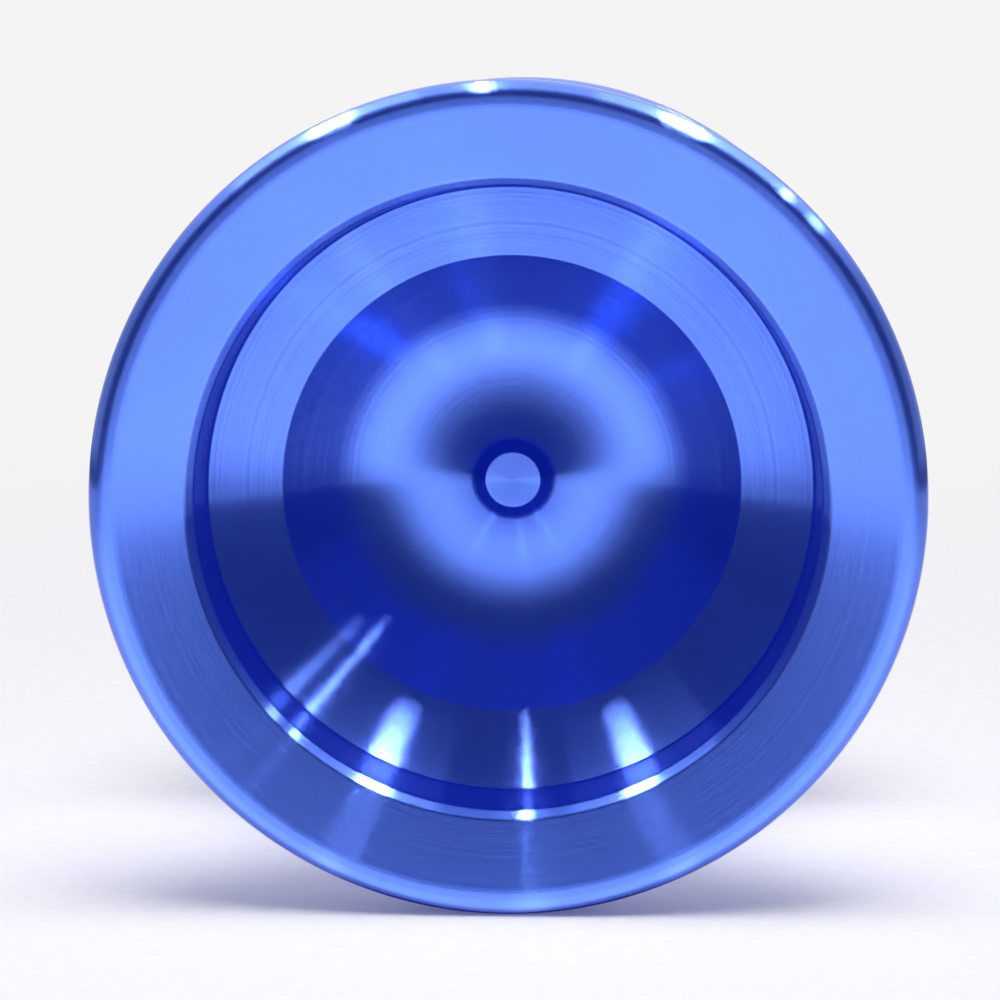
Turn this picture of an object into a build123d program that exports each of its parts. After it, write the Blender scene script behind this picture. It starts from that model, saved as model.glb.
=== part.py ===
from build123d import *
import os
from math import cos, radians, sin, tan

# A two-piece metal yo-yo standing on its rims.
# Frame: origin at the middle of the axle, +Y along the axle towards the back half, +Z up.
# Outlines are drawn as (radius from the axle, height above the mid-plane) and turned about the axle.

# ---- overall sizes (mm) ----
yoyo_diameter = 56.0
yoyo_width = 44.0

# ---- bearing, size C: 6.35 bore, 12.7 outside, 4.7625 wide ----
bearing_bore = 6.35
bearing_od = 12.7
bearing_width = 4.7625
ball_count = 10
ball_radius = 0.794
pitch_radius = 4.7625
race_clearance = 0.02
groove_radius = 0.83
inner_land_radius = 4.25
outer_land_radius = 5.27
ring_chamfer = 0.15
string_groove_depth = 0.25

# ---- shields and their snap rings, one of each on both faces of the bearing ----
seat_radius = 5.6
snap_groove_radius = 5.76
shield_inner_radius = 4.36
shield_outer_radius = 5.55
shield_thickness = 0.2
seat_depth = 0.43
snap_inner_radius = 5.38
snap_outer_radius = 5.72
snap_thickness = 0.14
snap_gap_angle = 24.0
snap_lip = 0.05

# ---- ball cage ----
cage_inner_radius = 4.46
cage_outer_radius = 5.06
cage_width = 2.3
pocket_clearance = 0.05

# ---- axle: M4 x 0.7 set screw ----
thread_diameter = 4.0
thread_pitch = 0.7
thread_depth = 0.43
thread_overlap = 0.1
thread_crest_relief = 0.02
thread_crest_half_width = 0.05
thread_root_half_width = 0.32
axle_thread_turns = 20
axle_length = 12.0
axle_chamfer = 0.4
socket_across_flats = 2.0
socket_depth = 2.2

# ---- threaded hole in each half, cut by one tap that reaches into both ----
tap_core_radius = 1.66
tap_play = 0.05
tap_turns = 18
hole_depth = 6.4

# ---- gap side of each half ----
post_clearance = 0.01
post_gap = 0.15
post_chamfer = 0.2
shoulder_radius = 3.95
relief_floor = 2.6
recess_radius = 6.55
gap_face = 2.2
pad_groove_inner = 7.2
pad_groove_outer = 9.6
pad_groove_floor = 3.4
pad_thickness = 1.13
pad_side_clearance = 0.05
pad_film = 0.02
pad_rounding = 0.15
catch_start_radius = 10.4
catch_angle = 42.3
catch_root_rounding = 1.0
rim_back_rounding = 2.0
gap_edge_rounding = 0.12

# ---- open side of each half ----
rim_chamfer = 0.8
rim_chamfer_rounding = 1.0
land_inner_radius = 26.3
land_rounding = 2.0
lip_outer_radius = 21.55
lip_outer_height = 20.86
lip_inner_radius = 21.0
lip_inner_height = 20.2
lip_rounding = 0.5
wall_base_radius = 20.8
wall_base_height = 14.1
wall_base_rounding = 0.4
shelf_start_angle = 31.5
step_radius = 15.87
step_height = 10.7
step_break = 0.06
valley_floor_radius = 7.1
valley_floor_height = 5.3
valley_arc_radius = 7.67
valley_arc_angle = 40.5
hub_base_radius = 2.75
hub_base_height = 6.3
hub_base_rounding = 1.1
hub_tip_radius = 1.93
hub_tip_height = 7.6
hub_tip_rounding = 0.06

# ---- string, wound on the bearing ----
string_inner_radius = 6.42
string_outer_radius = 13.0
string_half_width = 1.95
string_crown_half_width = 2.3
string_shoulder_radius = 10.5
string_crown_radius = 12.2

# Both halves use one outline: the front plane turns its heights towards -Y.
BACK = Plane.XY
FRONT = Plane(origin=(0, 0, 0), x_dir=(1, 0, 0), z_dir=(0, 0, -1))
yoyo_radius = yoyo_diameter / 2
half_width = yoyo_width / 2
half_bearing = bearing_width / 2

os.makedirs("parts", exist_ok=True)


def save(piece, name):
    """Label one finished piece and write it as its own STEP file."""
    piece.label = name
    export_step(piece, f"parts/{name}.step")


# ---- threads ----

axle_radius = thread_diameter / 2
root_radius = axle_radius - thread_depth
crest_radius = axle_radius - thread_crest_relief


def thread_ridge(turns, inner, outer, inner_half_width, outer_half_width):
    """Right-handed helical ridge about the Y axis, centred on the mid-plane.

    The ridge reaches from the inner to the outer radius, and all ridges with an even number
    of turns are in phase with each other.
    """
    length = turns * thread_pitch
    with BuildPart() as ridge:
        with BuildLine() as path:
            Helix(
                pitch=thread_pitch,
                height=length,
                radius=root_radius,
                center=(0, -length / 2, 0),
                direction=(0, 1, 0),
            )
        start = path.line @ 0
        with BuildSketch(Plane(origin=start, x_dir=(start.X, 0, start.Z), z_dir=path.line % 0)):
            with BuildLine():
                Polyline(
                    (inner - root_radius, -inner_half_width),
                    (outer - root_radius, -outer_half_width),
                    (outer - root_radius, outer_half_width),
                    (inner - root_radius, inner_half_width),
                    close=True,
                )
            make_face()
        sweep(path=path.line, is_frenet=True)
    return ridge.part


flank_slope = (thread_root_half_width - thread_crest_half_width) / (
    crest_radius - root_radius + thread_overlap
)
tap_inner_radius = tap_core_radius - thread_overlap
tap_inner_half_width = thread_crest_half_width + flank_slope * (crest_radius - tap_inner_radius) + tap_play

with BuildPart() as tap:
    with BuildSketch(Plane.XZ.offset(-hole_depth)):
        Circle(tap_core_radius)
    extrude(amount=2 * hole_depth)
    add(
        thread_ridge(
            tap_turns,
            tap_inner_radius,
            axle_radius + tap_play,
            tap_inner_half_width,
            thread_crest_half_width + tap_play,
        )
    )


# ---- halves ----


def half_section(side):
    """Section of one half: bearing post, gap face, catch flank, rim and stepped cup."""
    post = bearing_bore / 2 - post_clearance
    catch_end = (yoyo_radius - catch_start_radius) * tan(radians(catch_angle)) + gap_face
    rim_back = (yoyo_radius, catch_end)
    rim_edge = (yoyo_radius, half_width - rim_chamfer)
    rim_front = (yoyo_radius - rim_chamfer, half_width)
    land_inner = (land_inner_radius, half_width)
    catch_root = (catch_start_radius, gap_face)
    lip_outer = (lip_outer_radius, lip_outer_height)
    lip_inner = (lip_inner_radius, lip_inner_height)
    wall_base = (wall_base_radius, wall_base_height)
    step_outer = (step_radius + step_break, step_height + step_break)
    step_inner = (step_radius, step_height)
    valley_floor = (valley_floor_radius, valley_floor_height)
    hub_base = (hub_base_radius, hub_base_height)
    hub_tip = (hub_tip_radius, hub_tip_height)
    gap_edges = [
        (recess_radius, gap_face),
        (pad_groove_inner, gap_face),
        (pad_groove_outer, gap_face),
    ]
    roundings = {
        rim_back: rim_back_rounding,
        rim_edge: rim_chamfer_rounding,
        rim_front: rim_chamfer_rounding,
        land_inner: land_rounding,
        catch_root: catch_root_rounding,
        lip_outer: lip_rounding,
        lip_inner: lip_rounding,
        wall_base: wall_base_rounding,
        hub_base: hub_base_rounding,
        hub_tip: hub_tip_rounding,
    }
    roundings.update({edge: gap_edge_rounding for edge in gap_edges})
    with BuildSketch(side) as section:
        with BuildLine():
            Polyline(
                (0, hub_tip_height),
                (0, post_gap),
                (post - post_chamfer, post_gap),
                (post, post_gap + post_chamfer),
                (post, half_bearing),
                (shoulder_radius, half_bearing),
                (shoulder_radius, relief_floor),
                (recess_radius, relief_floor),
                (recess_radius, gap_face),
                (pad_groove_inner, gap_face),
                (pad_groove_inner, pad_groove_floor),
                (pad_groove_outer, pad_groove_floor),
                (pad_groove_outer, gap_face),
                catch_root,
                rim_back,
                rim_edge,
                rim_front,
                land_inner,
                lip_outer,
                lip_inner,
                wall_base,
            )
            shelf_start = (cos(radians(shelf_start_angle)), sin(radians(shelf_start_angle)))
            TangentArc(step_outer, wall_base, tangent=shelf_start)
            Line(step_outer, step_inner)
            valley = JernArc(valley_floor, (1, 0), radius=valley_arc_radius, arc_size=valley_arc_angle)
            TangentArc(valley @ 1, step_inner, tangent=valley % 1)
            TangentArc(valley_floor, hub_base, tangent=(-1, 0))
            Polyline(hub_base, hub_tip, (0, hub_tip_height))
        make_face()
        for corner, rounding in roundings.items():
            fillet(section.vertices().sort_by_distance(corner)[0], radius=rounding)
    return section.sketch


with BuildPart() as front_half:
    add(half_section(FRONT))
    revolve(axis=Axis.Y)
    add(tap.part, mode=Mode.SUBTRACT)
save(front_half.part, "front_half")

with BuildPart() as back_half:
    add(half_section(BACK))
    revolve(axis=Axis.Y)
    add(tap.part, mode=Mode.SUBTRACT)
save(back_half.part, "back_half")


# ---- axle: headless screw with a hex socket in both ends ----

thread_run = axle_thread_turns * thread_pitch
half_axle = axle_length / 2

with BuildPart() as axle_blank:
    with BuildSketch(Plane.XZ.offset(-half_axle)):
        Circle(axle_radius)
    extrude(amount=axle_length)
    chamfer(axle_blank.edges().filter_by(GeomType.CIRCLE), length=axle_chamfer)

with BuildPart() as axle:
    with BuildSketch(Plane.XZ.offset(-thread_run / 2 - thread_pitch)):
        Circle(root_radius)
    extrude(amount=thread_run + 2 * thread_pitch)
    add(
        thread_ridge(
            axle_thread_turns,
            root_radius - thread_overlap,
            crest_radius,
            thread_root_half_width,
            thread_crest_half_width,
        )
    )
    add(axle_blank.part, mode=Mode.INTERSECT)
    with BuildSketch(Plane.XZ.offset(-half_axle), Plane.XZ.offset(half_axle - socket_depth)):
        RegularPolygon(radius=socket_across_flats / 2, side_count=6, major_radius=False)
    extrude(amount=socket_depth, mode=Mode.SUBTRACT)
save(axle.part, "axle")


# ---- bearing rings ----


def mirrored(points):
    """The points of a half outline followed by their mirror images below the mid-plane."""
    return points + [(radius, -height) for radius, height in reversed(points)]


with BuildPart() as bearing_inner_ring:
    bore_radius = bearing_bore / 2
    inner_outline = [
        (inner_land_radius, half_bearing - ring_chamfer),
        (inner_land_radius - ring_chamfer, half_bearing),
        (bore_radius + ring_chamfer, half_bearing),
        (bore_radius, half_bearing - ring_chamfer),
    ]
    with BuildSketch(BACK):
        with BuildLine():
            Polyline(*mirrored(inner_outline), close=True)
        make_face()
        with Locations((pitch_radius - ball_radius - race_clearance + groove_radius, 0)):
            Circle(groove_radius, mode=Mode.SUBTRACT)
    revolve(axis=Axis.Y)
save(bearing_inner_ring.part, "bearing_inner_ring")

with BuildPart() as bearing_outer_ring:
    outer_radius = bearing_od / 2
    seat_floor = half_bearing - seat_depth
    snap_floor = seat_floor + shield_thickness
    snap_top = half_bearing - snap_lip
    outer_outline = [
        (outer_land_radius, seat_floor),
        (seat_radius, seat_floor),
        (seat_radius, snap_floor),
        (snap_groove_radius, snap_floor),
        (snap_groove_radius, snap_top),
        (seat_radius, snap_top),
        (seat_radius, half_bearing),
        (outer_radius - ring_chamfer, half_bearing),
        (outer_radius, half_bearing - ring_chamfer),
    ]
    string_groove_chord = half_bearing - 2 * ring_chamfer
    string_groove_arc = (string_groove_chord**2 + string_groove_depth**2) / (2 * string_groove_depth)
    with BuildSketch(BACK):
        with BuildLine():
            Polyline(*mirrored(outer_outline), close=True)
        make_face()
        with Locations((pitch_radius + ball_radius + race_clearance - groove_radius, 0)):
            Circle(groove_radius, mode=Mode.SUBTRACT)
        with Locations((outer_radius - string_groove_depth + string_groove_arc, 0)):
            Circle(string_groove_arc, mode=Mode.SUBTRACT)
    revolve(axis=Axis.Y)
save(bearing_outer_ring.part, "bearing_outer_ring")


# ---- balls and cage ----

ball_pitch_angle = 360 / ball_count

with BuildPart() as bearing_cage:
    with BuildSketch(Plane.XZ.offset(-cage_width / 2)):
        Circle(cage_outer_radius)
        Circle(cage_inner_radius, mode=Mode.SUBTRACT)
    extrude(amount=cage_width)
    for index in range(ball_count):
        angle = index * ball_pitch_angle
        outward = Plane(origin=(0, 0, 0), z_dir=(cos(radians(angle)), 0, sin(radians(angle))))
        with BuildSketch(outward):
            Circle(ball_radius + pocket_clearance)
        extrude(amount=bearing_od / 2, mode=Mode.SUBTRACT)
save(bearing_cage.part, "bearing_cage")

for index in range(ball_count):
    angle = radians(index * ball_pitch_angle)
    with BuildPart() as ball:
        with Locations((pitch_radius * cos(angle), 0, pitch_radius * sin(angle))):
            Sphere(ball_radius)
    save(ball.part, f"ball_{index + 1:02d}")


# ---- shields, snap rings and response pads, one of each per side ----


def washer_section(side, inner, outer, bottom, top, rounding=0.0):
    """Section of a flat ring between two radii and two heights above the mid-plane."""
    with BuildSketch(side) as section:
        with Locations(((inner + outer) / 2, (bottom + top) / 2)):
            Rectangle(outer - inner, top - bottom)
        if rounding:
            fillet(section.vertices(), radius=rounding)
    return section.sketch


for name, side in (("front", FRONT), ("back", BACK)):
    with BuildPart() as shield:
        add(washer_section(side, shield_inner_radius, shield_outer_radius, seat_floor, snap_floor))
        revolve(axis=Axis.Y)
    save(shield.part, f"{name}_shield")

    with BuildPart() as snap_ring:
        wire_bottom = (snap_floor + snap_top - snap_thickness) / 2
        wire_top = wire_bottom + snap_thickness
        add(washer_section(side, snap_inner_radius, snap_outer_radius, wire_bottom, wire_top))
        revolve(axis=Axis.Y, revolution_arc=360 - snap_gap_angle)
    save(snap_ring.part, f"{name}_snap_ring")

    with BuildPart() as response_pad:
        add(
            washer_section(
                side,
                pad_groove_inner + pad_side_clearance,
                pad_groove_outer - pad_side_clearance,
                pad_groove_floor - pad_film - pad_thickness,
                pad_groove_floor - pad_film,
                pad_rounding,
            )
        )
        revolve(axis=Axis.Y)
    save(response_pad.part, f"{name}_response_pad")


# ---- string: the wound coil as one soft ring in the gap ----

with BuildPart() as string:
    string_outline = [
        (string_outer_radius, 0),
        (string_crown_radius, string_crown_half_width),
        (string_shoulder_radius, string_half_width),
        (string_inner_radius, string_half_width),
    ]
    crown_bottom = (string_crown_radius, -string_crown_half_width)
    crown_top = (string_crown_radius, string_crown_half_width)
    with BuildSketch(BACK):
        with BuildLine():
            ThreePointArc(crown_bottom, (string_outer_radius, 0), crown_top)
            Polyline(crown_top, *mirrored(string_outline[2:]), crown_bottom)
        make_face()
    revolve(axis=Axis.Y)
save(string.part, "string")
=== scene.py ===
import math
import random

import bpy
from mathutils import Matrix, Vector


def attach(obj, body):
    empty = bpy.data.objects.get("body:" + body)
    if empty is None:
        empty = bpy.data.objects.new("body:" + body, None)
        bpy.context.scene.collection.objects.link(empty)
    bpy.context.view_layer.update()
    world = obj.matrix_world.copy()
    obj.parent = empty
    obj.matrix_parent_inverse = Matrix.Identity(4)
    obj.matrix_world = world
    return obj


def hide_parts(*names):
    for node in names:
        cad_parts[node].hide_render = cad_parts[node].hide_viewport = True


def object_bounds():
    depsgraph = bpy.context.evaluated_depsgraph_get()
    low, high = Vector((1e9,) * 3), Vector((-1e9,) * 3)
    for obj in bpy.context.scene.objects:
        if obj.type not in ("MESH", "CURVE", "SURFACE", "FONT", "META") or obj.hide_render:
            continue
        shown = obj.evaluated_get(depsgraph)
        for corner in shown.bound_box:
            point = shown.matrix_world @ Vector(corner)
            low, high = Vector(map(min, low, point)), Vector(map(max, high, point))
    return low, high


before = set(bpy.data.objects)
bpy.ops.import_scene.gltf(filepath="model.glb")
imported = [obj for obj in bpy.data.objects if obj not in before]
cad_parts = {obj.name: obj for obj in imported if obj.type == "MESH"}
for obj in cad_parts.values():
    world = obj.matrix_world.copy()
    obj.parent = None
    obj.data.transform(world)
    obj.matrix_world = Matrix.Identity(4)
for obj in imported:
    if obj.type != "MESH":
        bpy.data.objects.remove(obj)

# Looks of a blue anodised metal yo-yo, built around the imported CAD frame.
# Metres, +Y along the axle towards the back half, +Z up, the floor under the rims.
# Outlines are written in millimetres and scaled by MM.

cad_low, cad_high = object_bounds()

MM = 0.001
SEED = 7
rng = random.Random(SEED)


# ---------------------------------------------------------------- node helpers


def new_material(name, base_rgb):
    """A node material with its Principled shader; base_rgb is also the plain fallback colour."""
    material = bpy.data.materials.new(name)
    material.use_nodes = True
    material.diffuse_color = (*base_rgb, 1.0)
    shader = material.node_tree.nodes["Principled BSDF"]
    shader.inputs["Base Color"].default_value = (*base_rgb, 1.0)
    return material, material.node_tree, shader


def node(tree, kind, **settings):
    """Add a node; settings are its properties."""
    made = tree.nodes.new(kind)
    for key, value in settings.items():
        setattr(made, key, value)
    return made


def value_of(tree, socket, source):
    """Feed a socket from another socket or from a constant."""
    if isinstance(source, bpy.types.NodeSocket):
        tree.links.new(source, socket)
    else:
        socket.default_value = source


def maths(tree, operation, a, b=0.0, c=0.0):
    """One Math node; returns its output."""
    made = node(tree, "ShaderNodeMath", operation=operation)
    for socket, source in zip(made.inputs, (a, b, c)):
        value_of(tree, socket, source)
    return made.outputs[0]


def remap(tree, value, from_low, from_high, to_low, to_high, smooth=False):
    """Map Range node; returns its output."""
    kind = "SMOOTHSTEP" if smooth else "LINEAR"
    made = node(tree, "ShaderNodeMapRange", interpolation_type=kind)
    sources = (value, from_low, from_high, to_low, to_high)
    for name, source in zip(("Value", "From Min", "From Max", "To Min", "To Max"), sources):
        value_of(tree, made.inputs[name], source)
    return made.outputs["Result"]


def mix_colour(tree, factor, a, b):
    """Colour mix; returns its output."""
    made = node(tree, "ShaderNodeMix", data_type="RGBA")
    value_of(tree, made.inputs["Factor"], factor)
    for socket, source in ((made.inputs[6], a), (made.inputs[7], b)):
        value_of(tree, socket, (*source, 1.0) if isinstance(source, tuple) else source)
    return made.outputs[2]


def noise_along(tree, value, scale, detail=2.0):
    """One-dimensional noise; returns a value around 0.5."""
    made = node(tree, "ShaderNodeTexNoise", noise_dimensions="1D")
    value_of(tree, made.inputs["W"], value)
    made.inputs["Scale"].default_value = scale
    made.inputs["Detail"].default_value = detail
    return made.outputs["Fac"]


def noise_in_space(tree, vector, scale, detail=3.0):
    """Three-dimensional noise; returns a value around 0.5."""
    made = node(tree, "ShaderNodeTexNoise")
    tree.links.new(vector, made.inputs["Vector"])
    made.inputs["Scale"].default_value = scale
    made.inputs["Detail"].default_value = detail
    return made.outputs["Fac"]


def axle_coordinates(tree):
    """(object position, radius from the axle, height along the axle)."""
    position = node(tree, "ShaderNodeTexCoord").outputs["Object"]
    parts = node(tree, "ShaderNodeSeparateXYZ")
    tree.links.new(position, parts.inputs[0])
    x, y, z = parts.outputs
    square = maths(tree, "ADD", maths(tree, "MULTIPLY", x, x), maths(tree, "MULTIPLY", z, z))
    return position, maths(tree, "SQRT", square), y


def bump(tree, height, strength, distance):
    """Bump node; returns its normal."""
    made = node(tree, "ShaderNodeBump")
    tree.links.new(height, made.inputs["Height"])
    made.inputs["Strength"].default_value = strength
    made.inputs["Distance"].default_value = distance
    return made.outputs["Normal"]


def vector_maths(tree, operation, *sources):
    """One Vector Math node; returns its vector output."""
    made = node(tree, "ShaderNodeVectorMath", operation=operation)
    for socket, source in zip(made.inputs, sources):
        value_of(tree, socket, source)
    return made.outputs["Vector"]


def scaled(tree, vector, factor):
    """A vector times a number."""
    made = node(tree, "ShaderNodeVectorMath", operation="SCALE")
    tree.links.new(vector, made.inputs[0])
    value_of(tree, made.inputs["Scale"], factor)
    return made.outputs["Vector"]


# Turning grooves tilt the surface across the turning lines, by a slope drawn anew at each point.
AXLE_DIRECTION = (0.0, 1.0, 0.0)
GROOVE_GRAIN = 1.0e6
STEEP_GROOVES = 2.5
STEEP_RARITY = 8.0
PATH_PER_HEIGHT = 0.83
BAND_DETAIL = 3.0
BAND_SLOPE = 0.5
# Grooves flatten out where the surface is seen at a grazing angle.
GRAZING_START = 0.6
GRAZING_GROOVES = 0.12
# The cone has a finer cut. It starts over CONE_START, in metres from the axle, and ends at the
# corner of the square step: (radius, height) in mm.
CONE_START = (0.0112, 0.0126)
CONE_GROOVES = 0.62
STEP = (15.87, 10.7)
# Cloudiness of the sheen.
CLOUD_SCALE = 60.0
CLOUD_SHARE = 0.4
ROUGHNESS_RANGE = (0.8, 1.2)


def grooved_normal(tree, position, slope):
    """Surface normal tilted by a slope across the turning lines that run round the axle."""
    normal = node(tree, "ShaderNodeTexCoord").outputs["Normal"]
    round_axle = vector_maths(tree, "CROSS_PRODUCT", AXLE_DIRECTION, position)
    along = vector_maths(tree, "NORMALIZE", round_axle)
    across = vector_maths(tree, "CROSS_PRODUCT", along, normal)
    tilted = vector_maths(tree, "ADD", normal, scaled(tree, across, slope))
    to_world = node(tree, "ShaderNodeVectorTransform", vector_type="NORMAL")
    to_world.convert_from, to_world.convert_to = "OBJECT", "WORLD"
    tree.links.new(tilted, to_world.inputs[0])
    return vector_maths(tree, "NORMALIZE", to_world.outputs[0])


def groove_slope(tree, position, spread):
    """Random slope of the microscopic grooves.

    Two even draws give most grooves a gentle slope; a third draw makes a few of them steep.
    """
    grooves = node(tree, "ShaderNodeTexWhiteNoise", noise_dimensions="3D")
    tree.links.new(scaled(tree, position, GROOVE_GRAIN), grooves.inputs["Vector"])
    draws = node(tree, "ShaderNodeSeparateColor")
    tree.links.new(grooves.outputs["Color"], draws.inputs[0])
    first, second, third = draws.outputs
    common = maths(tree, "SUBTRACT", maths(tree, "ADD", first, second), 1.0)
    rare = maths(tree, "POWER", third, STEEP_RARITY)
    steep = maths(tree, "MULTIPLY_ADD", rare, STEEP_GROOVES, 1.0)
    return maths(tree, "MULTIPLY", maths(tree, "MULTIPLY", common, steep), spread)


def groove_depth(tree, radius):
    """Factor on the slopes: less at grazing angles and on the finely cut cone."""
    facing = node(tree, "ShaderNodeLayerWeight").outputs["Facing"]
    shallow = remap(tree, facing, GRAZING_START, 1.0, 1.0, GRAZING_GROOVES)
    above_valley = remap(tree, radius, *CONE_START, 0.0, 1.0, smooth=True)
    below_step = maths(tree, "LESS_THAN", radius, STEP[0] * MM)
    on_cone = maths(tree, "MULTIPLY", above_valley, below_step)
    return maths(tree, "MULTIPLY", shallow, remap(tree, on_cone, 0.0, 1.0, 1.0, CONE_GROOVES))


def turned_finish(tree, shader, line_scale, spread, roughness):
    """Lathe lines round the axle: steep microscopic grooves, faint wider bands and a cloudy sheen.

    spread is the steepest common slope of the grooves; the rarest are 1 + STEEP_GROOVES times
    as steep.
    """
    position, radius, height = axle_coordinates(tree)
    path = maths(tree, "ADD", radius, maths(tree, "MULTIPLY", height, PATH_PER_HEIGHT))
    bands = noise_along(tree, path, line_scale, BAND_DETAIL)
    slope = groove_slope(tree, position, spread)
    band_slope = maths(tree, "MULTIPLY", maths(tree, "SUBTRACT", bands, 0.5), BAND_SLOPE * spread)
    both = maths(tree, "ADD", slope, band_slope)
    slope = maths(tree, "MULTIPLY", both, groove_depth(tree, radius))
    normal = grooved_normal(tree, position, slope)
    tree.links.new(normal, shader.inputs["Normal"])
    tree.links.new(normal, shader.inputs["Coat Normal"])
    cloud = noise_in_space(tree, position, CLOUD_SCALE)
    cloud_part = maths(tree, "MULTIPLY", cloud, CLOUD_SHARE)
    worn = maths(tree, "ADD", cloud_part, maths(tree, "MULTIPLY", bands, 1.0 - CLOUD_SHARE))
    smoothest, roughest = (roughness * share for share in ROUGHNESS_RANGE)
    value_of(tree, shader.inputs["Roughness"], remap(tree, worn, 0.25, 0.75, smoothest, roughest))
    return cloud


# ---------------------------------------------------------------- materials

ANODISED_BLUE = (0.043, 0.126, 0.57)
ANODISED_DEEP = (0.037, 0.113, 0.53)
ANODISED_EDGE = (0.6, 0.7, 1.0)
ANODISED_LINES, ANODISED_SPREAD, ANODISED_ROUGHNESS = 9000.0, 0.3, 0.1
METAL_SHARE = 0.93
OXIDE_IOR = 1.5
# Painted glow: a faint blue emission, seen by the camera and in reflections, that lifts the dark
# shaded parts of the metal.
PAINTED_BLUE_GLOW = (0.0, 0.002, 0.1)
# What the table receives from the metal: calm blue light instead of sharp mirrored spots.
TABLE_SHADE, TABLE_SHADE_SHARE = (0.02, 0.03, 0.08), 0.7
BOUNCE_LOW = (0.12, 0.14, 0.4)
BOUNCE_HIGH = (0.66, 0.68, 1.1)
BOUNCE_HEIGHTS = (-0.028, -0.012)


def anodised_aluminium():
    """Blue dyed anodised aluminium: turning lines under a clear oxide coat."""
    material, tree, shader = new_material("anodised_blue", ANODISED_BLUE)
    cloud = turned_finish(tree, shader, ANODISED_LINES, ANODISED_SPREAD, ANODISED_ROUGHNESS)
    patches = remap(tree, cloud, 0.3, 0.7, 0.0, 1.0)
    colour = mix_colour(tree, patches, ANODISED_BLUE, ANODISED_DEEP)
    from_table = node(tree, "ShaderNodeLightPath").outputs["Is Diffuse Ray"]
    shading = maths(tree, "MULTIPLY", from_table, TABLE_SHADE_SHARE)
    tree.links.new(mix_colour(tree, shading, colour, TABLE_SHADE), shader.inputs["Base Color"])
    shader.inputs["Metallic"].default_value = METAL_SHARE
    place = node(tree, "ShaderNodeSeparateXYZ")
    tree.links.new(node(tree, "ShaderNodeNewGeometry").outputs["Position"], place.inputs[0])
    height = remap(tree, place.outputs[2], *BOUNCE_HEIGHTS, 0.0, 1.0)
    bounce = mix_colour(tree, height, BOUNCE_LOW, BOUNCE_HIGH)
    # Painted glow: faint blue to the camera and in reflections, and blue bounce light towards the
    # table.
    glow = mix_colour(tree, from_table, PAINTED_BLUE_GLOW, bounce)
    tree.links.new(glow, shader.inputs["Emission Color"])
    shader.inputs["Emission Strength"].default_value = 1.0
    shader.inputs["Coat Weight"].default_value = 1.0
    shader.inputs["Specular Tint"].default_value = (*ANODISED_EDGE, 1.0)
    shader.inputs["Coat Roughness"].default_value = ANODISED_ROUGHNESS
    shader.inputs["Coat IOR"].default_value = OXIDE_IOR
    return material


STEEL_SHADE = 0.82


def turned_steel(name, rgb, roughness, line_scale=14000.0, spread=0.08):
    """Ground or turned steel with concentric lines."""
    material, tree, shader = new_material(name, rgb)
    cloud = turned_finish(tree, shader, line_scale, spread, roughness)
    darker = tuple(STEEL_SHADE * channel for channel in rgb)
    patches = remap(tree, cloud, 0.35, 0.65, 0.0, 1.0)
    colour = mix_colour(tree, patches, rgb, darker)
    tree.links.new(colour, shader.inputs["Base Color"])
    shader.inputs["Metallic"].default_value = 1.0
    return material


def polished_ball():
    """Mirror-finished steel with faint lapping marks."""
    material, tree, shader = new_material("ball_steel", (0.8, 0.81, 0.83))
    position = node(tree, "ShaderNodeTexCoord").outputs["Object"]
    marks = noise_in_space(tree, position, 9000.0, 4.0)
    value_of(tree, shader.inputs["Roughness"], remap(tree, marks, 0.4, 0.7, 0.04, 0.12))
    tree.links.new(bump(tree, marks, 0.15, 0.3e-6), shader.inputs["Normal"])
    shader.inputs["Metallic"].default_value = 1.0
    return material


def silicone():
    """Pale cast silicone: soft sheen, fine mould grain and a little grey string dust."""
    clean, dusty = (0.72, 0.73, 0.74), (0.5, 0.5, 0.52)
    material, tree, shader = new_material("silicone", clean)
    position = node(tree, "ShaderNodeTexCoord").outputs["Object"]
    grain = noise_in_space(tree, position, 6500.0, 4.0)
    dust = noise_in_space(tree, position, 900.0, 5.0)
    colour = mix_colour(tree, remap(tree, dust, 0.5, 0.75, 0.0, 0.6), clean, dusty)
    tree.links.new(colour, shader.inputs["Base Color"])
    value_of(tree, shader.inputs["Roughness"], remap(tree, grain, 0.3, 0.7, 0.45, 0.65))
    tree.links.new(bump(tree, grain, 0.6, 6e-6), shader.inputs["Normal"])
    shader.inputs["Subsurface Weight"].default_value = 0.15
    shader.inputs["Subsurface Scale"].default_value = 0.0004
    return material


def polyester_yarn():
    """White twisted polyester: fibre bump along the yarn and soft sheen."""
    light, shade = (0.84, 0.84, 0.8), (0.62, 0.62, 0.58)
    material, tree, shader = new_material("string_yarn", light)
    position = node(tree, "ShaderNodeTexCoord").outputs["Object"]
    fibres = noise_in_space(tree, position, 14000.0, 5.0)
    soil = noise_in_space(tree, position, 500.0, 3.0)
    tone = maths(tree, "MULTIPLY_ADD", fibres, 0.6, maths(tree, "MULTIPLY", soil, 0.4))
    colour = mix_colour(tree, remap(tree, tone, 0.35, 0.7, 0.0, 1.0), shade, light)
    tree.links.new(colour, shader.inputs["Base Color"])
    tree.links.new(bump(tree, fibres, 0.8, 20e-6), shader.inputs["Normal"])
    shader.inputs["Roughness"].default_value = 0.72
    shader.inputs["Sheen Weight"].default_value = 0.35
    shader.inputs["Sheen Roughness"].default_value = 0.5
    return material


anodised = anodised_aluminium()


# ---------------------------------------------------------------- turned halves

yoyo_radius = (cad_high.x - cad_low.x) / 2 / MM
half_width = (cad_high.y - cad_low.y) / 2 / MM
# How finely outlines are cut: faces round the axle, face length in mm, angles in degrees.
SEGMENTS, PAD_SEGMENTS = 288, 192
FACE_LENGTH = 0.9
ARC_STEP = 3.0
FEWEST_ARC_PIECES = 6
CREASE_ANGLE = 6.0
ON_AXIS = 1e-6


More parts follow.
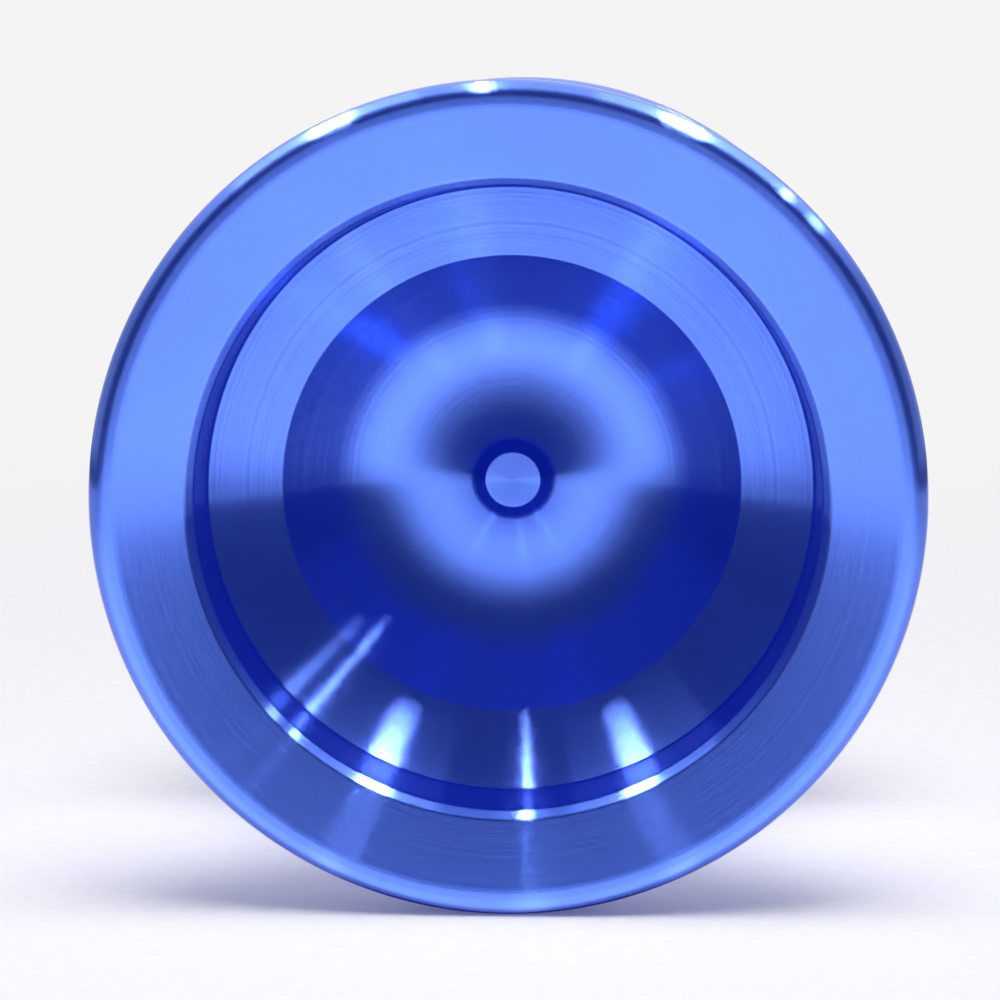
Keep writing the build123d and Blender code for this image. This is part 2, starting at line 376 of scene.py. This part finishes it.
def arc_points(corner, before, after, radius, step_degrees):
    """Points of the arc that rounds the corner between two straight runs."""
    to_before = (Vector(before) - Vector(corner)).normalized()
    to_after = (Vector(after) - Vector(corner)).normalized()
    half_angle = to_before.angle(to_after) / 2
    centre = Vector(corner) + (to_before + to_after).normalized() * (radius / math.sin(half_angle))
    start = Vector(corner) + to_before * (radius / math.tan(half_angle)) - centre
    sweep = math.pi - 2 * half_angle
    turn = math.copysign(1.0, -to_before.x * to_after.y + to_before.y * to_after.x)
    count = max(FEWEST_ARC_PIECES, math.ceil(math.degrees(sweep) / step_degrees))
    points = []
    for index in range(count + 1):
        angle = turn * sweep * index / count
        cos_a, sin_a = math.cos(angle), math.sin(angle)
        turned = (start.x * cos_a - start.y * sin_a, start.x * sin_a + start.y * cos_a)
        points.append((centre.x + turned[0], centre.y + turned[1]))
    return points


def rounded_outline(corners, step_degrees=ARC_STEP):
    """Turn [(radius, height, rounding), ...] into a list of outline points."""
    points = []
    last = len(corners) - 1
    for index, (radius, height, rounding) in enumerate(corners):
        if rounding and 0 < index < last:
            before, after = corners[index - 1][:2], corners[index + 1][:2]
            points += arc_points((radius, height), before, after, rounding, step_degrees)
        else:
            points.append((radius, height))
    return points


def fill_straights(points, spacing=FACE_LENGTH):
    """Split the long straight runs of an outline so that the faces stay close to square."""
    filled = [points[0]]
    for start, end in zip(points, points[1:]):
        count = max(1, round(math.dist(start, end) / spacing))
        for step in range(1, count + 1):
            filled.append(tuple(a + (b - a) * step / count for a, b in zip(start, end)))
    return filled


def lathe(name, outline, side, material, segments=SEGMENTS):
    """Turn an outline of (radius, height) in mm about the axle.

    side is +1 for the back half and -1 for the front half.
    """
    rings, vertices, faces = [], [], []
    for radius, height in outline:
        if radius < ON_AXIS:
            rings.append([len(vertices)])
            vertices.append((0.0, side * height * MM, 0.0))
            continue
        ring = []
        for index in range(segments):
            angle = 2 * math.pi * index / segments
            ring.append(len(vertices))
            across, up = radius * MM * math.cos(angle), radius * MM * math.sin(angle)
            vertices.append((across, side * height * MM, up))
        rings.append(ring)
    closed = outline[0] == outline[-1]
    if closed:
        vertices = vertices[: rings[-1][0]]
        rings[-1] = rings[0]
    for low, high in zip(rings, rings[1:]):
        for index in range(segments):
            after = (index + 1) % segments
            if len(low) == 1 and len(high) == 1:
                break
            if len(low) == 1:
                face = (low[0], high[index], high[after])
            elif len(high) == 1:
                face = (low[index], high[0], low[after])
            else:
                face = (low[index], high[index], high[after], low[after])
            faces.append(face if side < 0 else face[::-1])
    mesh = bpy.data.meshes.new(name)
    mesh.from_pydata(vertices, [], faces)
    mesh.validate()
    mesh.shade_smooth()
    mesh.set_sharp_from_angle(angle=math.radians(CREASE_ANGLE))
    made = bpy.data.objects.new(name, mesh)
    bpy.context.scene.collection.objects.link(made)
    mesh.materials.append(material)
    return made


def ring_sizes(name):
    """(inner radius, outer radius, lowest height, highest height) of a CAD ring, in mm."""
    points = [vertex.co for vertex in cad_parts[name].data.vertices]
    radii = [math.hypot(point.x, point.z) for point in points]
    heights = [abs(point.y) for point in points]
    return min(radii) / MM, max(radii) / MM, min(heights) / MM, max(heights) / MM


bearing_bore, _, _, half_bearing = ring_sizes("bearing_inner_ring")
pad_inner, pad_outer, pad_low, pad_high = ring_sizes("back_response_pad")

# Gap side of a half in mm; heights are from the middle plane between the halves.
POST_GAP = 0.15
POST_CHAMFER = 0.2
POST_PLAY = 0.01
SEAT_RADIUS = 3.95
RECESS_RADIUS, RECESS_FLOOR = 6.55, 2.6
GAP_FACE = 2.2
GAP_ROUNDING = 0.12
GROOVE_FLOOR = pad_high + 0.02
CATCH_ROOT = 10.4
CATCH_SLOPE = math.tan(math.radians(42.3))
CATCH_ROUNDING = 1.0
# The bore is plain, as wide as the thread of the hole at its roots.
BORE_RADIUS = 2.05
BORE_DEPTH = 6.4
PAD_PLAY = 0.05
# Rim and cup side: (radius, height) of the corners, the roundings, and the pieces of each arc.
BACK_ROUNDING = 2.0
RIM_CHAMFER = 0.8
RIM_ROUNDING = 1.0
LAND_RADIUS, LAND_ROUNDING = 26.3, 2.0
LIP_OUTER, LIP_INNER, LIP_ROUNDING = (21.55, 20.86), (21.0, 20.2), 0.5
WALL_BASE, WALL_ROUNDING = (20.8, 14.1), 0.4
SHELF_START_ANGLE = 31.5
SHELF_PIECES = 12
STEP_BREAK = 0.06
CONE_PIECES = 8
VALLEY_FLOOR = (7.1, 5.3)
VALLEY_RADIUS, VALLEY_ANGLE = 7.67, 40.5
VALLEY_PIECES = 24
HUB_BASE, HUB_BASE_ROUNDING = (2.75, 6.3), 1.1
HUB_TIP, HUB_TIP_ROUNDING = (1.93, 7.6), 0.06
HUB_PIECES = 9


def tangent_arc(start, end, start_angle, pieces):
    """Corners along the arc that leaves start at an angle in degrees and reaches end.

    Neither start nor end is among them.
    """
    chord = Vector(end) - Vector(start)
    first = math.radians(start_angle)
    turn = 2 * (math.remainder(math.atan2(chord.y, chord.x) - first, 2 * math.pi))
    corners = []
    for index in range(1, pieces):
        half_turn = turn * index / pieces / 2
        length = chord.length * math.sin(half_turn) / math.sin(turn / 2)
        angle = first + half_turn
        reach, climb = length * math.cos(angle), length * math.sin(angle)
        corners.append((start[0] + reach, start[1] + climb, 0))
    return corners


step_outer = (STEP[0] + STEP_BREAK, STEP[1] + STEP_BREAK)
valley_angle = math.radians(VALLEY_ANGLE)
valley_end = (
    VALLEY_FLOOR[0] + VALLEY_RADIUS * math.sin(valley_angle),
    VALLEY_FLOOR[1] + VALLEY_RADIUS * (1 - math.cos(valley_angle)),
)
catch_rise = (yoyo_radius - CATCH_ROOT) * CATCH_SLOPE
post_radius = bearing_bore - POST_PLAY
half_corners = [
    (0, BORE_DEPTH, 0),
    (BORE_RADIUS, BORE_DEPTH, 0),
    (BORE_RADIUS, POST_GAP, 0),
    (post_radius - POST_CHAMFER, POST_GAP, 0),
    (post_radius, POST_GAP + POST_CHAMFER, 0),
    (post_radius, half_bearing, 0),
    (SEAT_RADIUS, half_bearing, 0),
    (SEAT_RADIUS, RECESS_FLOOR, 0),
    (RECESS_RADIUS, RECESS_FLOOR, 0),
    (RECESS_RADIUS, GAP_FACE, GAP_ROUNDING),
    (pad_inner - PAD_PLAY, GAP_FACE, GAP_ROUNDING),
    (pad_inner - PAD_PLAY, GROOVE_FLOOR, 0),
    (pad_outer + PAD_PLAY, GROOVE_FLOOR, 0),
    (pad_outer + PAD_PLAY, GAP_FACE, GAP_ROUNDING),
    (CATCH_ROOT, GAP_FACE, CATCH_ROUNDING),
    (yoyo_radius, GAP_FACE + catch_rise, BACK_ROUNDING),
    (yoyo_radius, half_width - RIM_CHAMFER, RIM_ROUNDING),
    (yoyo_radius - RIM_CHAMFER, half_width, RIM_ROUNDING),
    (LAND_RADIUS, half_width, LAND_ROUNDING),
    (*LIP_OUTER, LIP_ROUNDING),
    (*LIP_INNER, LIP_ROUNDING),
    (*WALL_BASE, WALL_ROUNDING),
    *reversed(tangent_arc(step_outer, WALL_BASE, SHELF_START_ANGLE, SHELF_PIECES)),
    (*step_outer, 0),
    (*STEP, 0),
    *reversed(tangent_arc(valley_end, STEP, VALLEY_ANGLE, CONE_PIECES)),
    (*valley_end, 0),
    *reversed(tangent_arc(VALLEY_FLOOR, valley_end, 0.0, VALLEY_PIECES)),
    (*VALLEY_FLOOR, 0),
    *tangent_arc(VALLEY_FLOOR, HUB_BASE, 180.0, HUB_PIECES),
    (*HUB_BASE, HUB_BASE_ROUNDING),
    (*HUB_TIP, HUB_TIP_ROUNDING),
    (0, HUB_TIP[1], 0),
]
half_outline = fill_straights(rounded_outline(half_corners))

for name, side, body in (("front_shell", -1, "rotor"), ("back_shell", 1, "back_half")):
    shell = lathe(name, half_outline, side, anodised)
    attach(shell, body)
    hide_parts("front_half" if side < 0 else "back_half")


# ---------------------------------------------------------------- bearing, axle and pads

steel = turned_steel("bearing_steel", (0.62, 0.63, 0.65), 0.16)
cad_materials = {
    "axle": turned_steel("axle_steel", (0.2, 0.2, 0.21), 0.38, 5000.0, 0.12),
    "bearing_inner_ring": steel,
    "bearing_outer_ring": steel,
    "bearing_cage": turned_steel("cage_brass", (0.62, 0.43, 0.17), 0.3, 6000.0, 0.12),
    "front_shield": turned_steel("shield_steel", (0.5, 0.51, 0.53), 0.3, 9000.0, 0.1),
    "front_snap_ring": turned_steel("spring_steel", (0.3, 0.3, 0.32), 0.35, 9000.0, 0.1),
}
cad_materials["back_shield"] = cad_materials["front_shield"]
cad_materials["back_snap_ring"] = cad_materials["front_snap_ring"]
ball_finish = polished_ball()
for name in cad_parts:
    if name.startswith("ball_"):
        cad_materials[name] = ball_finish
for name, material in cad_materials.items():
    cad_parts[name].material_slots[0].material = material

pad_material = silicone()
PAD_WALL = 0.2
PAD_EDGE = 0.12
PAD_EDGE_DROP = 0.04
PAD_CROWN = 0.02
PAD_EDGE_ROUNDING, PAD_CROWN_ROUNDING = 0.1, 3.0
PAD_FACE_LENGTH = 0.3
pad_middle = (pad_inner + pad_outer) / 2
pad_corners = [
    (pad_inner, pad_high, 0),
    (pad_inner, pad_low + PAD_WALL, 0),
    (pad_inner + PAD_EDGE, pad_low + PAD_EDGE_DROP, PAD_EDGE_ROUNDING),
    (pad_middle, pad_low + PAD_CROWN, PAD_CROWN_ROUNDING),
    (pad_outer - PAD_EDGE, pad_low + PAD_EDGE_DROP, PAD_EDGE_ROUNDING),
    (pad_outer, pad_low + PAD_WALL, 0),
    (pad_outer, pad_high, 0),
    (pad_inner, pad_high, 0),
]
pad_outline = fill_straights(rounded_outline(pad_corners), PAD_FACE_LENGTH)
for name, side, body in (("front_pad", -1, "rotor"), ("back_pad_ring", 1, "back_pad")):
    pad = lathe(name, pad_outline, side, pad_material, PAD_SEGMENTS)
    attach(pad, body)
    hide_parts("front_response_pad" if side < 0 else "back_response_pad")


# ---------------------------------------------------------------- string

string_inner, string_outer = ring_sizes("string")[:2]
# Yarn and coil in mm, with shares of a layer or of the yarn's width.
YARN = 1.05
PLIES = 4
PLY_DEPTH = 0.14
TWIST_PITCH = 3.2
YARN_SIDES = 16
COIL_HALF_WIDTH = 1.95
COIL_STEPS = 72
COIL_CLEARANCE, COIL_OVERFILL = 0.02, 0.1
LAYER_NESTING = 0.86
TURN_SPACING = 1.04
CLIMB_SHARE = 0.07
WOBBLE, WOBBLE_PACE, JITTER = 0.05, 2.3, 0.012
yarn_material = polyester_yarn()


def coil_path():
    """Centre line of the wound string, layer by layer.

    Each point is (angle about the axle, radius in mm, height in mm).
    """
    path = []
    layer_rise = YARN * LAYER_NESTING
    room = COIL_HALF_WIDTH - YARN / 2
    turns = max(2.0, 2 * room / (YARN * TURN_SPACING))
    steps = int(turns * COIL_STEPS)
    radius = string_inner + YARN / 2 + COIL_CLEARANCE
    direction = 1
    angle = 0.0
    while radius + YARN / 2 < string_outer + COIL_OVERFILL:
        for index in range(steps):
            share = index / steps
            wobble = WOBBLE * math.sin(angle * WOBBLE_PACE + radius) + rng.uniform(-JITTER, JITTER)
            height = direction * room * (2 * share - 1)
            rise = layer_rise * max(0.0, (share - 1 + CLIMB_SHARE) / CLIMB_SHARE)
            path.append((angle, radius + rise + wobble * 0.5, height + wobble))
            angle += 2 * math.pi / COIL_STEPS
        radius += layer_rise
        direction = -direction
    return path


def to_space(angle, radius, height):
    """Point in metres for an angle about the axle and a radius and height in mm."""
    return Vector((radius * math.cos(angle), height, radius * math.sin(angle))) * MM


def yarn_mesh(name, points, material, around=YARN_SIDES):
    """A twisted multi-ply yarn along a list of points."""
    vertices, faces = [], []
    travelled = 0.0
    reference = Vector((0, 1, 0))
    for index, point in enumerate(points):
        ahead = points[min(index + 1, len(points) - 1)]
        behind = points[max(index - 1, 0)]
        tangent = (ahead - behind).normalized()
        side_a = (reference - tangent * reference.dot(tangent)).normalized()
        side_b = tangent.cross(side_a)
        reference = side_a
        if index:
            travelled += (point - points[index - 1]).length / MM
        twist = 2 * math.pi * travelled / TWIST_PITCH
        for step in range(around):
            angle = 2 * math.pi * step / around
            lobe = 1 - PLY_DEPTH + PLY_DEPTH * abs(math.cos(PLIES * (angle - twist) / 2))
            offset = side_a * math.cos(angle) + side_b * math.sin(angle)
            vertices.append(point + offset * (YARN / 2 * lobe * MM))
    for ring in range(len(points) - 1):
        for step in range(around):
            after = (step + 1) % around
            low, high = ring * around, (ring + 1) * around
            faces.append((low + step, low + after, high + after, high + step))
    faces.append(tuple(range(around))[::-1])
    faces.append(tuple(range((len(points) - 1) * around, len(points) * around)))
    mesh = bpy.data.meshes.new(name)
    mesh.from_pydata(vertices, [], faces)
    mesh.shade_smooth()
    mesh.materials.append(material)
    made = bpy.data.objects.new(name, mesh)
    bpy.context.scene.collection.objects.link(made)
    return made


coil = coil_path()
string_coil = yarn_mesh("string_coil", [to_space(*p) for p in coil], yarn_material)
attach(string_coil, "outer_race")
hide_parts("string")


# ---------------------------------------------------------------- floor, light and camera

BACKDROP = (0.905, 0.903, 0.907)
TABLE_RADIUS = 0.37
TABLE_SIDES = 96
TABLE_TONES = ((0.8, 0.785, 0.73), (0.82, 0.805, 0.75))
TABLE_GRAIN = 900.0
FADE_START, FADE_END = 0.12, 0.3
# What the metal mirrors of the table, in metres from the axle: x to the right, y away from
# the viewer. The table is bright in front, with soft streaks, and dark where the halves hide it.
TABLE_GLOW, GLOW_BESIDE, BESIDE = 1.55, 0.05, (0.05, 0.21)
GLOW_FRONT, AHEAD = 0.72, (-0.32, -0.12)
UNDER = (-0.0219, -0.0211)
STREAK_PLACES = (-0.0136, 0.0017, 0.0129)
STREAK_WIDTH = 0.0026
STREAK_GLOW = 0.6
STREAK_START = (-0.07, -0.04)
# Painted shade: the table turns dark blue under the halves, seen only in reflections.
PAINTED_CONTACT_SHADE = (0.06, 0.07, 0.22)
CONTACT_EDGE = (0.008, 0.016)
FIRST_MIRROR = 1.5
floor_height = cad_low.z


def table_material():
    """Plain pale tabletop, fading into the backdrop far away and brighter in reflections."""
    material = bpy.data.materials.new("pale_table")
    material.use_nodes = True
    tree = material.node_tree
    tree.nodes.clear()
    output = node(tree, "ShaderNodeOutputMaterial")
    diffuse = node(tree, "ShaderNodeBsdfDiffuse")
    glow = node(tree, "ShaderNodeEmission")
    far = node(tree, "ShaderNodeEmission")
    far.inputs["Color"].default_value = (*BACKDROP, 1.0)
    rays = node(tree, "ShaderNodeLightPath")
    position = node(tree, "ShaderNodeTexCoord").outputs["Object"]
    grain = noise_in_space(tree, position, TABLE_GRAIN)
    tone = mix_colour(tree, remap(tree, grain, 0.4, 0.6, 0.0, 1.0), *TABLE_TONES)
    parts = node(tree, "ShaderNodeSeparateXYZ")
    tree.links.new(position, parts.inputs[0])
    x, y = parts.outputs[0], parts.outputs[1]
    side = maths(tree, "ABSOLUTE", x)
    beside = remap(tree, side, *BESIDE, TABLE_GLOW, GLOW_BESIDE, smooth=True)
    ahead = remap(tree, y, *AHEAD, GLOW_FRONT, 1.0, smooth=True)
    under = remap(tree, y, *UNDER, 1.0, 0.0, smooth=True)
    brightness = maths(tree, "MULTIPLY", maths(tree, "MULTIPLY", beside, ahead), under)
    close = remap(tree, y, *STREAK_START, 0.0, 1.0, smooth=True)
    for place in STREAK_PLACES:
        offset = maths(tree, "ABSOLUTE", maths(tree, "SUBTRACT", x, place))
        streak = remap(tree, offset, 0.0, STREAK_WIDTH, STREAK_GLOW, 0.0, smooth=True)
        extra = maths(tree, "MULTIPLY", streak, close)
        brightness = maths(tree, "MULTIPLY_ADD", extra, brightness, brightness)
    # Painted contact shade: mirrored rays see the table darkened where the halves stand over it.
    middle = remap(tree, side, *CONTACT_EDGE, 1.0, 0.0)
    contact = maths(tree, "MULTIPLY", maths(tree, "SUBTRACT", 1.0, under), middle)
    hidden = maths(tree, "MULTIPLY", contact, rays.outputs["Is Glossy Ray"])
    tree.links.new(mix_colour(tree, hidden, tone, PAINTED_CONTACT_SHADE), diffuse.inputs["Color"])
    first = maths(tree, "LESS_THAN", rays.outputs["Glossy Depth"], FIRST_MIRROR)
    mirrored = maths(tree, "MULTIPLY", rays.outputs["Is Glossy Ray"], first)
    value_of(tree, glow.inputs["Strength"], maths(tree, "MULTIPLY", mirrored, brightness))
    lit = node(tree, "ShaderNodeAddShader")
    tree.links.new(diffuse.outputs[0], lit.inputs[0])
    tree.links.new(glow.outputs[0], lit.inputs[1])
    distance = node(tree, "ShaderNodeVectorMath", operation="LENGTH")
    tree.links.new(position, distance.inputs[0])
    fade = remap(tree, distance.outputs["Value"], FADE_START, FADE_END, 0.0, 1.0, smooth=True)
    seen_fade = maths(tree, "MULTIPLY", fade, rays.outputs["Is Camera Ray"])
    blend = node(tree, "ShaderNodeMixShader")
    value_of(tree, blend.inputs[0], seen_fade)
    tree.links.new(lit.outputs[0], blend.inputs[1])
    tree.links.new(far.outputs[0], blend.inputs[2])
    tree.links.new(blend.outputs[0], output.inputs["Surface"])
    return material


table_mesh = bpy.data.meshes.new("table")
table_points = []
for index in range(TABLE_SIDES):
    angle = 2 * math.pi * index / TABLE_SIDES
    table_x, table_y = TABLE_RADIUS * math.cos(angle), TABLE_RADIUS * math.sin(angle)
    table_points.append((table_x, table_y, floor_height))
table_mesh.from_pydata(table_points, [], [tuple(range(TABLE_SIDES))])
table_mesh.materials.append(table_material())
table = bpy.data.objects.new("table", table_mesh)
bpy.context.scene.collection.objects.link(table)


# Room brightness by direction. An angle is in degrees up from the viewer, over the top; a
# share is of the direction's height z or its depth y.
VIEWER_LIGHT = 0.16
ROOM_LIGHT, ROOM_ANGLES = 0.1, (5.0, 25.0)
UPPER_LIGHT, UPPER_ANGLES = 0.15, (35.0, 58.0)
CEILING_LIGHT, CEILING_ANGLES, CEILING_SHARES = 5.2, (76.0, 86.0), (0.3, 0.75)
CEILING_BEHIND, CEILING_END_ANGLES = 0.27, (86.0, 98.0)
BEHIND_LIGHT, BEHIND_SHARES = 0.95, (-0.4, 0.1)
UNDER_LIGHT, UNDER_SHARES = 0.25, (-0.05, 0.0)
ROOM_TINT = (0.8, 0.8, 0.8)
# Light the world throws on the table.
AMBIENT_LIGHT = 0.6
AMBIENT_TINT = (0.56, 0.58, 0.82)


def studio_world():
    """Pale to the camera; to everything else a dim room with a bright ceiling overhead."""
    world = bpy.data.worlds.new("studio")
    world.use_nodes = True
    tree = world.node_tree
    tree.nodes.clear()
    output = node(tree, "ShaderNodeOutputWorld")
    seen = node(tree, "ShaderNodeBackground")
    lit = node(tree, "ShaderNodeBackground")
    choose = node(tree, "ShaderNodeMixShader")
    rays = node(tree, "ShaderNodeLightPath")
    seen.inputs["Color"].default_value = (*BACKDROP, 1.0)
    direction = node(tree, "ShaderNodeTexCoord").outputs["Generated"]
    parts = node(tree, "ShaderNodeSeparateXYZ")
    tree.links.new(direction, parts.inputs[0])
    y, z = parts.outputs[1], parts.outputs[2]
    towards_viewer = maths(tree, "MULTIPLY", y, -1.0)
    angle = maths(tree, "DEGREES", maths(tree, "ARCTAN2", z, towards_viewer))
    front = remap(tree, angle, *ROOM_ANGLES, VIEWER_LIGHT, ROOM_LIGHT, smooth=True)
    upper = remap(tree, angle, *UPPER_ANGLES, front, UPPER_LIGHT, smooth=True)
    rise = remap(tree, angle, *CEILING_ANGLES, 0.0, 1.0, smooth=True)
    reach = remap(tree, z, *CEILING_SHARES, 0.0, 1.0, smooth=True)
    past = remap(tree, angle, *CEILING_END_ANGLES, 1.0, CEILING_BEHIND, smooth=True)
    ceiling = maths(tree, "MULTIPLY", maths(tree, "MULTIPLY", rise, reach), past)
    behind = remap(tree, y, *BEHIND_SHARES, upper, BEHIND_LIGHT, smooth=True)
    room = remap(tree, ceiling, 0.0, 1.0, behind, CEILING_LIGHT)
    level = remap(tree, z, *UNDER_SHARES, UNDER_LIGHT, room, smooth=True)
    strength = remap(tree, rays.outputs["Is Diffuse Ray"], 0.0, 1.0, level, AMBIENT_LIGHT)
    value_of(tree, lit.inputs["Strength"], strength)
    tint = mix_colour(tree, rays.outputs["Is Diffuse Ray"], ROOM_TINT, AMBIENT_TINT)
    tree.links.new(tint, lit.inputs["Color"])
    value_of(tree, choose.inputs[0], rays.outputs["Is Camera Ray"])
    tree.links.new(lit.outputs[0], choose.inputs[1])
    tree.links.new(seen.outputs[0], choose.inputs[2])
    tree.links.new(choose.outputs[0], output.inputs["Surface"])
    return world


bpy.context.scene.world = studio_world()


def lamp(name, lean, tilt, distance, size_x, size_y, power, on_table=False):
    """Soft overhead area lamp aimed at the yo-yo.

    lean is in degrees to the right of upright and tilt in degrees up from the viewer. A lamp
    lights either the table or the metal, so that each can be balanced on its own.
    """
    light = bpy.data.lights.new(name, "AREA")
    light.shape = "RECTANGLE"
    light.size, light.size_y = size_x, size_y
    light.energy = power
    made = bpy.data.objects.new(name, light)
    lean, tilt = math.radians(lean), math.radians(tilt)
    height = math.sin(tilt)
    towards = Vector((math.sin(lean) * height, -math.cos(tilt), math.cos(lean) * height))
    made.location = towards * distance
    across = Vector((math.cos(lean), 0.0, -math.sin(lean)))
    axes = Matrix((across, towards.cross(across), towards)).transposed()
    made.rotation_mode = "QUATERNION"
    made.rotation_quaternion = axes.to_quaternion()
    made.visible_diffuse = on_table
    made.visible_glossy = not on_table
    bpy.context.scene.collection.objects.link(made)


# (name, lean, tilt, distance, width, length, power[, lights the table])
LAMPS = [
    ("lamp_left", -29.5, 86, 1.6, 0.17, 0.62, 42.0),
    ("lamp_left_box", -31, 86.5, 1.6, 0.9, 0.72, 5.0),
    ("lamp_middle", -5.6, 85.5, 1.6, 0.03, 0.66, 15.0),
    ("lamp_right", 26.3, 86, 1.6, 0.17, 0.62, 60.0),
    ("lamp_right_box", 28, 86.5, 1.6, 0.9, 0.72, 5.0),
    ("lamp_far_right_a", 45.2, 81, 1.6, 0.03, 0.68, 4.0),
    ("lamp_far_right_b", 51.3, 83, 1.6, 0.07, 0.68, 2.4),
    ("lamp_table", 3, 78, 1.6, 1.0, 1.0, 20.8, True),
]
for values in LAMPS:
    lamp(*values)


CAMERA_ELEVATION = math.radians(6.75)
CAMERA_AZIMUTH = math.radians(1.93)
CAMERA_DISTANCE = 0.243
CAMERA_SHIFT = (-0.00042, 0.00026)
LENS, SENSOR = 131.94, 36.0
camera_data = bpy.data.cameras.new("camera")
camera_data.lens = LENS
camera_data.sensor_width = SENSOR
camera_data.clip_start = 0.01
camera_data.clip_end = 20.0
camera = bpy.data.objects.new("camera", camera_data)
back = Vector((
    math.sin(CAMERA_AZIMUTH) * math.cos(CAMERA_ELEVATION),
    -math.cos(CAMERA_AZIMUTH) * math.cos(CAMERA_ELEVATION),
    math.sin(CAMERA_ELEVATION),
))
camera.rotation_mode = "QUATERNION"
camera.rotation_quaternion = (-back).to_track_quat("-Z", "Y")
rim_centre = Vector((0.0, cad_low.y, 0.0))
right = camera.rotation_quaternion @ Vector((1, 0, 0))
up = camera.rotation_quaternion @ Vector((0, 1, 0))
camera.location = (
    rim_centre + back * CAMERA_DISTANCE + right * CAMERA_SHIFT[0] + up * CAMERA_SHIFT[1]
)
bpy.context.scene.collection.objects.link(camera)
bpy.context.scene.camera = camera
bpy.context.scene.view_settings.view_transform = "Standard"
